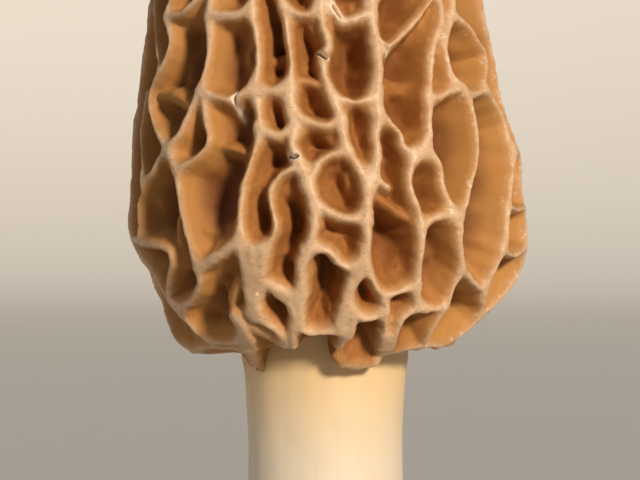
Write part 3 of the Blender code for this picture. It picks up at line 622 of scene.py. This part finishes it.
def turned_mesh(name, outer, inner, spacing):
    """A closed mesh turned from an outer outline, foot to top, and an inner one, top to foot.

    Each point keeps the outer outline's outward direction there, and 0 on the inner one.
    """
    outline = np.vstack([outer, inner])[::-1] * MM
    mesh = bpy.data.meshes.new(name)
    places = np.column_stack([outline[:, 0], np.zeros(len(outline)), outline[:, 1]])
    edges = [(i, (i + 1) % len(outline)) for i in range(len(outline))]
    edges = [e for e in edges if max(outline[e[0], 0], outline[e[1], 0]) > ON_AXIS * MM]
    mesh.from_pydata(places.tolist(), edges, [])
    direction = np.vstack([outward(outer), np.zeros_like(inner)])[::-1]
    store(mesh, "direction", np.column_stack([direction, direction.any(axis=1)]))
    piece = linked(name, mesh)
    screw = piece.modifiers.new("Turn", "SCREW")
    screw.axis = "Z"
    screw.steps = screw.render_steps = round(2 * math.pi * outer[:, 0].max() / spacing)
    screw.use_merge_vertices = True
    screw.merge_threshold = ON_AXIS * MM
    made_plain(piece)
    return piece


def points_of(mesh):
    """The mesh's points in millimetres."""
    at = np.empty(len(mesh.vertices) * 3, np.float32)
    mesh.vertices.foreach_get("co", at)
    return at.reshape(-1, 3).astype(float) / MM


def store(mesh, name, values):
    """Keeps a number or a vector for each point under a name that node trees read."""
    kind, field = ("FLOAT_VECTOR", "vector") if values.ndim == 2 else ("FLOAT", "value")
    attribute = mesh.attributes.new(name, kind, "POINT")
    attribute.data.foreach_set(field, values.astype(np.float32).ravel())


def turned_fields(mesh, at):
    """Which points lie on the outer outline, and the outward direction at each point."""
    stored = np.empty(len(at) * 3, np.float32)
    mesh.attributes["direction"].data.foreach_get("vector", stored)
    stored = stored.reshape(-1, 3)
    radius = np.hypot(at[:, 0], at[:, 1])
    round_axis = at[:, :2] / np.maximum(radius, ON_AXIS)[:, None]
    normal = np.column_stack([stored[:, :1] * round_axis, stored[:, 1]])
    return stored[:, 2] > 0, normal, round_axis


class Value:
    """A node's output, which can be reckoned with as a number."""

    def __init__(self, wiring, socket):
        self.wiring, self.socket = wiring, socket

    def math(self, operation, *others):
        return self.wiring.math(operation, self, *others)

    def __add__(self, other):
        return self.math("ADD", other)

    def __sub__(self, other):
        return self.math("SUBTRACT", other)

    def __rsub__(self, other):
        return self.wiring.math("SUBTRACT", other, self)

    def __mul__(self, other):
        return self.math("MULTIPLY", other)

    def __truediv__(self, other):
        return self.math("DIVIDE", other)

    def between(self, low, high, to_low=0.0, to_high=1.0):
        """The value taken smoothly from one range to another, and held at the ends."""
        inputs = {0: self, 1: low, 2: high, 3: to_low, 4: to_high}
        return self.wiring.add("ShaderNodeMapRange", inputs, interpolation_type="SMOOTHSTEP")


class Wiring:
    """Adds nodes to a node tree, and links or sets their inputs."""

    def __init__(self, tree):
        self.tree = tree

    def put(self, inputs, values):
        for key, value in values.items():
            if isinstance(value, Value):
                self.tree.links.new(value.socket, inputs[key])
            else:
                inputs[key].default_value = value

    def add(self, kind, inputs=None, output=0, **settings):
        """One output of a new node."""
        node = self.tree.nodes.new(kind)
        for name, value in settings.items():
            setattr(node, name, value)
        self.put(node.inputs, inputs or {})
        return Value(self, node.outputs[output])

    def math(self, operation, *values):
        return self.add("ShaderNodeMath", dict(enumerate(values)), operation=operation)

    def vector_math(self, operation, inputs):
        return self.add("ShaderNodeVectorMath", inputs, operation=operation)

    def noise(self, vector, size, detail=2.0, roughness=0.5):
        """Noise from 0 to 1 whose features are about so big."""
        scale = self.math("DIVIDE", 1.0, size)
        inputs = {"Vector": vector, "Scale": scale, "Detail": detail, "Roughness": roughness}
        return self.add("ShaderNodeTexNoise", inputs)

    def field(self, name, kind="FLOAT"):
        """A named attribute, in a geometry tree."""
        return self.add("GeometryNodeInputNamedAttribute", {"Name": name}, data_type=kind)


class Relief(Wiring):
    """A Geometry Nodes tree that moves points along their outward direction.

    It has named inputs, and ends with no instances left and every face in the material.
    """

    def __init__(self, name, sizes):
        super().__init__(bpy.data.node_groups.new(name, "GeometryNodeTree"))
        sockets = self.tree.interface
        sockets.new_socket("Geometry", in_out="INPUT", socket_type="NodeSocketGeometry")
        for label, value in sizes.items():
            kind = "Material" if isinstance(value, bpy.types.Material) else "Float"
            sockets.new_socket(label, in_out="INPUT", socket_type="NodeSocket" + kind)
        sockets.new_socket("Geometry", in_out="OUTPUT", socket_type="NodeSocketGeometry")
        group = self.tree.nodes.new("NodeGroupInput")
        self.source = {socket.name: Value(self, socket) for socket in group.outputs}
        self.result = self.tree.nodes.new("NodeGroupOutput").inputs
        self.place = self.add("GeometryNodeInputPosition")
        self.sizes = sizes

    def swing(self, name, detail=2.0, roughness=0.5):
        """Noise from -0.5 to 0.5 whose size is the input of this name."""
        return self.noise(self.place, self.source[name + " Size"], detail, roughness) - 0.5

    def finish(self, geometry, move, rise=None):
        offset = self.field("outward", "FLOAT_VECTOR")
        offset = self.vector_math("SCALE", {0: offset, "Scale": move})
        if rise is not None:
            offset = self.vector_math("ADD", {0: offset, 1: rise})
        inputs = {"Geometry": geometry, "Offset": offset}
        moved = self.add("GeometryNodeSetPosition", inputs)
        real = self.add("GeometryNodeRealizeInstances", {"Geometry": moved})
        inputs = {"Geometry": real, "Material": self.source["Material"]}
        self.put(self.result, {0: self.add("GeometryNodeSetMaterial", inputs)})

    def put_on(self, obj):
        """Puts the tree on the object with its inputs set."""
        modifier = obj.modifiers.new(self.tree.name, "NODES")
        modifier.node_group = self.tree
        for item in self.tree.interface.items_tree:
            if item.item_type == "SOCKET" and item.in_out == "INPUT" and item.name in self.sizes:
                modifier[item.identifier] = self.sizes[item.name]


def made_plain(obj):
    """Turns what the object's modifiers give into its own plain mesh."""
    graph = bpy.context.evaluated_depsgraph_get()
    mesh = bpy.data.meshes.new_from_object(obj.evaluated_get(graph))
    obj.modifiers.clear()
    old = obj.data
    obj.data = mesh
    bpy.data.meshes.remove(old)
    mesh.name = obj.name
    mesh.shade_smooth()


def linked(name, mesh):
    obj = bpy.data.objects.new(name, mesh)
    bpy.context.scene.collection.objects.link(obj)
    return obj


# Materials

class Finish(Wiring):
    """A material whose nodes read the place on the piece and the values kept there."""

    def __init__(self, name):
        self.material = bpy.data.materials.new(name)
        self.material.use_nodes = True
        super().__init__(self.material.node_tree)
        self.place = self.add("ShaderNodeTexCoord", output="Object")

    def kept(self, name):
        return self.add("ShaderNodeAttribute", output="Fac", attribute_name=name)

    def along(self, axis):
        return self.add("ShaderNodeSeparateXYZ", {0: self.place}, axis)

    def stretched(self, scale):
        return self.add("ShaderNodeMapping", {"Vector": self.place, "Scale": scale})

    def mix(self, factor, first, second):
        """One colour over another. A colour is a value or three numbers."""
        inputs = {"Factor": factor}
        for key, tint in zip(MIX_COLOURS, (first, second)):
            inputs[key] = tint if isinstance(tint, Value) else (*tint, 1.0)
        return self.add("ShaderNodeMix", inputs, MIX_RESULT, data_type="RGBA")

    def bumps(self, relief, strength):
        inputs = {"Height": relief, "Strength": strength, "Distance": BUMP_HEIGHT}
        return self.add("ShaderNodeBump", inputs)

    def dress(self, inputs):
        """Sets the shader's inputs, and gives the material."""
        self.put(self.tree.nodes["Principled BSDF"].inputs, inputs)
        return self.material


def glow(settings, radius):
    """The shader's inputs for light that travels in the flesh."""
    return {
        "Subsurface Weight": settings.translucency,
        "Subsurface Radius": radius,
        "Subsurface Scale": settings.glow_depth,
    }


def cap_material(settings):
    """Flesh that runs from pale crests through golden walls to dark pit floors. The darkening
    down the pits is partly the flesh's own colour and partly painted shade, the rims are
    painted bounce light, the walls at the sides are lightened as painted light, and the pale
    marks on the lit side's crests are painted glints.
    """
    finish = Finish("cap_flesh")
    place, pit = finish.place, finish.kept("pit")
    mottle = finish.noise(place, MOTTLE_SIZE, 4, FINE)
    patches = finish.noise(place, PATCH_SIZE, 3)
    # The pit's depth share with random patches. The ramps along it darken the flesh down the pits,
    # partly its own colour and partly painted shade.
    stain = pit + patches.math("MULTIPLY_ADD", PATCH_SWING, -PATCH_SWING / 2)
    # The walls at the cap's sides are lightened where the lamps fall on them: painted light.
    deep = finish.mix(finish.kept("paled"), settings.wall_colour, settings.side_lit_wall_colour)
    # The rim stop is painted bounce light.
    crests = finish.mix(
        stain.between(*CREST_TO_RIM), settings.crest_colour, settings.rim_bounce_colour)
    walls = finish.mix(stain.between(*RIM_TO_WALL), crests, deep)
    flesh = finish.mix(stain.between(*WALL_TO_SHADED_FLOOR), walls, settings.floor_colour)
    blotch = mottle.between(*BLOTCHES) * pit.between(*BLOTCH_FADE)
    flesh = finish.mix(blotch, flesh, settings.stain_colour)
    specks = finish.noise(finish.stretched(SPECK_SQUEEZE), SPECK_SIZE, 2)
    speck = specks.between(*SPECKS) * pit.between(*SPECK_FADE)
    flesh = finish.mix(speck, flesh, settings.speck_colour)
    # Pale marks on the crests of the lit right side: painted glints, in the torn edges' colour.
    glints = finish.noise(place, GLINT_SIZE, 3, FINE)
    glint = glints.between(*GLINT_LEVELS) * pit.between(*GLINT_FADE)
    glint = glint * finish.along("X").between(*GLINTS_TO_LIT_RIGHT)
    flesh = finish.mix(glint.math("MAXIMUM", finish.kept("torn")), flesh, settings.torn_and_glint_colour)
    roughness = pit.between(*ROUGHNESS_FADE) + mottle * MOTTLE_ROUGHNESS + CREST_ROUGHNESS
    relief = finish.noise(place, SKIN_SIZE, 3, FINE) * SKIN_SHARE + mottle
    return finish.dress({
        "Base Color": flesh,
        "Roughness": roughness,
        "Normal": finish.bumps(relief, SKIN_BUMP),
        "Specular IOR Level": CAP_SPECULAR,
        **glow(settings, CAP_GLOW),
    })


def stem_material(settings):
    """Waxy cream flesh with faint lengthwise streaks, more golden under the cap."""
    finish = Finish("stem_flesh")
    place, height = finish.place, finish.along("Z")
    streaks = finish.noise(finish.stretched(STREAK_STRETCH), STREAK_SIZE, 4, FINE)
    golden = height + finish.noise(place, BLUSH_SIZE, 3) * BLUSH_SWING
    golden = golden.between(*NECK_HEIGHTS)
    flesh = finish.mix(golden, settings.flesh_colour, settings.neck_colour)
    flesh = finish.mix(streaks.between(*STREAKS), flesh, settings.streak_colour)
    earth = (height + streaks * EARTH_SWING).between(*EARTH)
    flesh = finish.mix(earth, flesh, settings.earth_colour)
    relief = finish.noise(place, MEAL_SIZE, 3, FINE).math("MULTIPLY_ADD", MEAL_SHARE, streaks)
    return finish.dress({
        "Base Color": flesh,
        "Roughness": streaks.between(*STEM_ROUGHNESS),
        "Normal": finish.bumps(relief, MEAL_BUMP),
        **glow(settings, STEM_GLOW),
    })


def stage_material(settings):
    """Plain paper with a faint cloudiness."""
    finish = Finish("pale_paper")
    pale = settings.floor_colour
    darker = [CLOUD_SHADE * part for part in pale]
    paper = finish.mix(finish.noise(finish.place, CLOUD_SIZE, 2), pale, darker)
    return finish.dress({"Base Color": paper, "Roughness": PAPER_ROUGHNESS})


# Trees that give the pieces their relief

def cap_relief(sizes):
    """Sinks the pits between the ridges, and roughens crests, walls and floors."""
    relief = Relief("Cap relief", sizes)
    source, field, swing = relief.source, relief.field, relief.swing

    def fall(gap, most, run, rounding=source["Crest Rounding"]):
        """How far down a wall is at a distance from its crest's edge."""
        out = (gap / rounding).math("EXPONENT")
        out = (out + 1.0).math("LOGARITHM", math.e) * rounding
        return most * (1.0 - (out * -1.0 / run).math("EXPONENT"))

    crest_gap = field("crest_gap")
    reach = source["Fray Reach"]
    wander = swing("Wander") * source["Wander"]
    fray = swing("Fray") * source["Fray"] * crest_gap.between(0.0, reach, 1.0, 0.0)
    bulge = swing("Bulge", 1) * source["Bulge"] * crest_gap.between(0.0, reach)
    gap = crest_gap + (wander + fray) + bulge
    wall = fall(gap, source["Wall Depth"], source["Wall Run"])
    bowl = fall(field("bowl_gap") + bulge, source["Bowl Depth"], source["Bowl Run"],
                source["Bowl Rounding"])
    uneven = relief.noise(relief.place, source["Pit Unevenness Size"])
    depth = wall + bowl * uneven.between(*PIT_UNEVENNESS)
    whole = source["Wall Depth"] + source["Bowl Depth"]
    ledge = fall(field("ledge_gap") + wander, whole, source["Ledge Run"])
    ledge = field("ledge_drop") + ledge
    depth = depth.math("SMOOTH_MIN", ledge, source["Ledge Blend"])
    pit = depth / whole
    depth = depth * field("depth_share")
    sunk = depth / whole

    lumps = relief.noise(relief.place, source["Lump Size"], 3) - LUMP_LEVEL
    lumps = lumps * source["Lump Height"]
    for name in ("Fold", "Cushion"):
        swelling = swing(name, 1) * source[name + " Height"]
        lumps = swelling.math("MULTIPLY_ADD", sunk, lumps)
    grain = swing("Grain", 3, FINE) * source["Grain Height"] * pit.between(*GRAIN_FADE)
    inputs = {"Geometry": source["Geometry"], "Name": "pit", "Value": pit}
    kept = relief.add(
        "GeometryNodeStoreNamedAttribute", inputs, data_type="FLOAT", domain="POINT")
    relief.finish(kept, lumps + grain - depth, field("rise", "FLOAT_VECTOR"))
    return relief


def stem_relief(sizes):
    """Gives the stem soft dents and faint lengthwise folds."""
    relief = Relief("Stem relief", sizes)
    source = relief.source
    stretched = relief.vector_math("MULTIPLY", {0: relief.place, 1: FOLD_STRETCH})
    folds = relief.noise(stretched, source["Fold Size"], 3) - 0.5
    dents = relief.swing("Dent") * source["Dent Height"]
    relief.finish(source["Geometry"], dents + folds * source["Fold Height"])
    return relief


# Sizes and colours that a user would change

def a_length(name, description, default):
    return FloatProperty(name=name, description=description, default=default, unit="LENGTH")


def a_colour(name, description, default):
    return FloatVectorProperty(
        name=name, description=description, default=default, size=3, subtype="COLOR")


def a_share(name, description, default):
    return FloatProperty(
        name=name, description=description, default=default, subtype="FACTOR", min=0.0, max=1.0)


def a_strength(name, description, default):
    return FloatProperty(name=name, description=description, default=default)


class MorelCapSettings(bpy.types.PropertyGroup):
    wall_depth: a_length(
        "Wall depth", "How far a pit's steep wall falls below its crest", 4.8 * MM)
    wall_run: a_length(
        "Wall run", "How far across a wall takes to fall most of the way", 0.7 * MM)
    bowl_depth: a_length(
        "Bowl depth", "How much further a wide pit's rounded floor falls", 5.5 * MM)
    bowl_run: a_length(
        "Bowl run", "How far across the floor takes to fall most of the way", 3.0 * MM)
    crest_rounding: a_length(
        "Crest rounding", "Softness of the edge between crest and wall", 0.3 * MM)
    corner_fillet: a_length(
        "Corner fillet", "Softness of a pit's corners, where ridges meet", 0.55 * MM)
    bowl_fillet: a_length("Bowl fillet", "Softness of a pit's floor, where ridges meet", 1.8 * MM)
    spacing: a_length("Spacing", "Distance between points before thinning", 0.2 * MM)
    triangles: IntProperty(
        name="Triangles", description="Triangles left after thinning", default=194000)
    translucency: a_share("Translucency", "Share of light that passes through the flesh", 0.2)
    glow_depth: a_length("Glow depth", "How far light travels in the flesh", 0.6 * MM)
    crest_colour: a_colour("Crests", "Colour of the ridge crests", (0.62, 0.43, 0.26))
    rim_bounce_colour: a_colour(
        # The rim colour is painted bounce light from the pits on the crests' shaded sides.
        "Rims", "Colour where a crest turns down into its pits", (0.48, 0.25, 0.09))
    # The lighter colour of the pit walls at the cap's sides is painted light.
    side_lit_wall_colour: a_colour(
        "Paled walls", "Colour of the pit walls at the cap's sides", (0.45, 0.215, 0.055))
    # The walls are partly the flesh's own colour and partly painted shade; the floors below are
    # painted shade.
    wall_colour: a_colour("Walls", "Colour of the pit walls", (0.305, 0.115, 0.022))
    floor_colour: a_colour("Floors", "Colour of the deepest pit floors", (0.12, 0.028, 0.003))
    stain_colour: a_colour("Stains", "Colour of the soft blotches", (0.42, 0.19, 0.06))
    # Torn edges are the flesh's own pale colour; the same colour makes the painted glints on the
    # crests.
    torn_and_glint_colour: a_colour(
        "Torn edges", "Colour of tears and of the flakes on the crests", (0.83, 0.68, 0.50))
    speck_colour: a_colour(
        "Specks", "Colour of the fine cracks across the crests", (0.20, 0.09, 0.04))


class MorelStemSettings(bpy.types.PropertyGroup):
    spacing: a_length("Spacing", "Distance between points", 0.35 * MM)
    top: a_length("Top", "Height that the stem reaches inside the cap", 49 * MM)
    edge: a_length("Cut edge", "Rounding of the cut's edge", 0.25 * MM)
    translucency: a_share("Translucency", "Share of light that passes through the flesh", 0.35)
    glow_depth: a_length("Glow depth", "How far light travels in the flesh", 2.0 * MM)
    flesh_colour: a_colour("Flesh", "Colour of the stem", (0.70, 0.61, 0.46))
    neck_colour: a_colour("Neck", "Colour of the stem under the cap", (0.74, 0.53, 0.27))
    streak_colour: a_colour("Streaks", "Colour of the lengthwise streaks", (0.62, 0.51, 0.35))
    earth_colour: a_colour("Earth", "Colour of the stain at the foot", (0.42, 0.28, 0.15))


class MorelStageSettings(bpy.types.PropertyGroup):
    camera_distance: a_length("Camera distance", "From the camera to the mushroom's middle", 0.45)
    camera_height: a_length("Camera height", "Height of the level camera", 61.5 * MM)
    view_width: a_length("View width", "Width that the view takes in at the mushroom", 96 * MM)
    floor_colour: a_colour("Floor", "Colour of the floor and its rim", (0.60, 0.59, 0.56))
    floor_radius: a_length("Floor radius", "Out to where its rim stands up", 3.2)
    floor_bend: a_length("Floor bend", "Radius of the curve between floor and rim", 0.85)
    key_strength: a_strength("Key light", "Strength of the warm light from the right", 4.1)
    fill_strength: a_strength("Fill light", "Strength of the cool light from the left", 0.7)
    top_strength: a_strength("Top light", "Strength of the light from above", 0.15)
    room_light: a_strength("Room light", "Strength of the light from all round", 0.03)


# Pieces

class MOREL_OT_cap(bpy.types.Operator):
    """Grow the pitted cap, closed and hollow, with its drips over the stem"""

    bl_idname = "morel.cap"
    bl_label = "Cap"

    def execute(self, context):
        settings = context.scene.morel_cap
        spacing = settings.spacing / MM
        outer = evenly_spaced(np.vstack([SKIRT_OUTLINE, CAP_LINE]), spacing)
        hollow = evenly_spaced(HOLLOW_LINE, HOLLOW_SPACING)
        hollow = hollow[hollow[:, 1] > SKIRT_OUTLINE[-1][1]]
        hollow[0, 0] += HOLLOW_STEP
        piece = turned_mesh("cap", outer, hollow[::-1], spacing)
        at = points_of(piece.data)
        fillets = settings.corner_fillet / MM, settings.bowl_fillet / MM
        fields = cap_fields(at, *turned_fields(piece.data, at), fillets)
        for name, values in fields.items():
            store(piece.data, name, values)
        sizes = {name: size * MM for name, size in CAP_RELIEF.items()}
        for name in ("wall_depth", "wall_run", "bowl_depth", "bowl_run", "crest_rounding"):
            sizes[name.replace("_", " ").title()] = getattr(settings, name)
        sizes["Material"] = cap_material(settings)
        cap_relief(sizes).put_on(piece)
        smooth = piece.modifiers.new("Soften", "SMOOTH")
        smooth.factor, smooth.iterations = SOFTENING
        made_plain(piece)
        thin = piece.modifiers.new("Thin", "DECIMATE")
        thin.ratio = settings.triangles / sum(len(p.vertices) - 2 for p in piece.data.polygons)
        made_plain(piece)
        place_piece(piece)
        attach(piece, BODY)
        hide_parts(NODE)
        return {"FINISHED"}


class MOREL_OT_stem(bpy.types.Operator):
    """Turn the stem, open at its flat cut foot, and give it dents and folds"""

    bl_idname = "morel.stem"
    bl_label = "Stem"

    def execute(self, context):
        settings = context.scene.morel_stem
        spacing, top, edge = settings.spacing / MM, settings.top / MM, settings.edge / MM
        cut = [0, EDGE_SHARE * edge, edge]
        heights = np.concatenate([cut, np.arange(2 * edge, top, spacing), [top]])
        radius = np.interp(heights, STEM_LINE[:, 1], STEM_LINE[:, 0])
        radius[:2] -= (edge, EDGE_SHARE * edge)
        outer = np.column_stack([radius, heights])
        heights = np.append(np.arange(top, 0, -HOLLOW_SPACING), 0)
        radius = np.interp(heights, HOLLOW_LINE[:, 1], HOLLOW_LINE[:, 0])
        piece = turned_mesh("stem", outer, np.column_stack([radius, heights]), spacing)
        at = points_of(piece.data)
        _, normal, _ = turned_fields(piece.data, at)
        normal[at[:, 2] < FLAT] = 0
        store(piece.data, "outward", normal)
        sizes = {name: size * MM for name, size in STEM_RELIEF.items()}
        sizes["Material"] = stem_material(settings)
        stem_relief(sizes).put_on(piece)
        made_plain(piece)
        place_piece(piece)
        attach(piece, BODY)
        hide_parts(NODE)
        return {"FINISHED"}


def place_piece(piece):
    """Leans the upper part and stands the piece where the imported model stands."""
    at = points_of(piece.data)
    at[:, 0] += LEAN_PER_MM * np.maximum(0, at[:, 2] - LEAN_FROM)
    at = at * MM
    at[:, :2] += foot_middle()
    piece.data.vertices.foreach_set("co", at.astype(np.float32).ravel())
    piece.data.update()


class MOREL_OT_stage(bpy.types.Operator):
    """Set up the floor, the lights and the camera"""

    bl_idname = "morel.stage"
    bl_label = "Stage"

    def execute(self, context):
        settings = context.scene.morel_stage
        make_floor(settings)
        add_camera(settings)
        for name, *facts in SUNS:
            add_sun(name, getattr(settings, name + "_strength"), *facts)
        world = bpy.data.worlds.new("room")
        world.use_nodes = True
        background = world.node_tree.nodes["Background"]
        background.inputs["Color"].default_value = (*ROOM_TINT, 1.0)
        background.inputs["Strength"].default_value = settings.room_light
        context.scene.world = world
        context.scene.view_settings.view_transform = "Standard"
        return {"FINISHED"}


def make_floor(settings):
    """A round pale floor whose rim curves up all the way round, to be the backdrop."""
    flat = settings.floor_radius - settings.floor_bend
    profile = [(0.0, 0.0), (flat, 0.0)]
    for i in range(1, BEND_STEPS + 1):
        turn = i / BEND_STEPS * math.pi / 2
        rise = settings.floor_bend * (1 - math.cos(turn))
        profile.append((flat + settings.floor_bend * math.sin(turn), rise))
    bm = bmesh.new()
    points = [bm.verts.new((radius, 0, height)) for radius, height in profile]
    edges = [bm.edges.new(pair) for pair in zip(points[:-1], points[1:])]
    bmesh.ops.spin(
        bm, geom=points + edges, cent=(0, 0, 0), axis=(0, 0, 1), angle=2 * math.pi,
        steps=FLOOR_STEPS, use_merge=True,
    )
    bmesh.ops.remove_doubles(bm, verts=bm.verts, dist=MM)
    bmesh.ops.recalc_face_normals(bm, faces=bm.faces)
    if min(bm.faces, key=lambda face: face.calc_center_median().length).normal.z < 0:
        bmesh.ops.reverse_faces(bm, faces=bm.faces)
    mesh = bpy.data.meshes.new("floor")
    bm.to_mesh(mesh)
    bm.free()
    mesh.shade_smooth()
    mesh.materials.append(stage_material(settings))
    linked("floor", mesh)


def add_camera(settings):
    """A level camera in front, a little to the left of the stem's axis."""
    data = bpy.data.cameras.new("camera")
    data.sensor_width = SENSOR_WIDTH
    data.lens = data.sensor_width * settings.camera_distance / settings.view_width
    data.clip_start = CLIP_START
    camera = linked("camera", data)
    middle = foot_middle()
    camera.location = (middle[0] + CAMERA_OFFSET * MM, middle[1] - settings.camera_distance,
                       settings.camera_height)
    camera.rotation_euler = (math.pi / 2, 0, 0)
    bpy.context.scene.camera = camera


def add_sun(name, strength, towards, width, tint):
    """A soft light from far off, in the direction given, as wide as the angle given."""
    data = bpy.data.lights.new(name, "SUN")
    data.angle = math.radians(width)
    data.energy = strength
    data.color = tint
    light = linked(name, data)
    light.rotation_euler = Vector(towards).to_track_quat("Z", "Y").to_euler()


class MOREL_PT_panel(bpy.types.Panel):
    """Settings and buttons for the morel"""

    bl_idname = "MOREL_PT_panel"
    bl_label = "Morel"
    bl_space_type = "VIEW_3D"
    bl_region_type = "UI"
    bl_category = "Morel"

    def draw(self, context):
        for operator, settings in (
            (MOREL_OT_cap, context.scene.morel_cap),
            (MOREL_OT_stem, context.scene.morel_stem),
            (MOREL_OT_stage, context.scene.morel_stage),
        ):
            box = self.layout.box()
            box.operator(operator.bl_idname)
            for name in settings.__annotations__:
                box.prop(settings, name)


CLASSES = (
    MorelCapSettings, MorelStemSettings, MorelStageSettings, MOREL_OT_cap, MOREL_OT_stem,
    MOREL_OT_stage, MOREL_PT_panel,
)
SETTINGS = {
    "morel_cap": MorelCapSettings,
    "morel_stem": MorelStemSettings,
    "morel_stage": MorelStageSettings,
}


def register():
    for kind in CLASSES:
        bpy.utils.register_class(kind)
    for name, kind in SETTINGS.items():
        setattr(bpy.types.Scene, name, PointerProperty(type=kind))


def unregister():
    for name in SETTINGS:
        delattr(bpy.types.Scene, name)
    for kind in reversed(CLASSES):
        bpy.utils.unregister_class(kind)


def main():
    register()
    bpy.ops.morel.cap()
    bpy.ops.morel.stem()
    bpy.ops.morel.stage()
    bpy.context.view_layer.update()


if __name__ == "__main__":
    main()
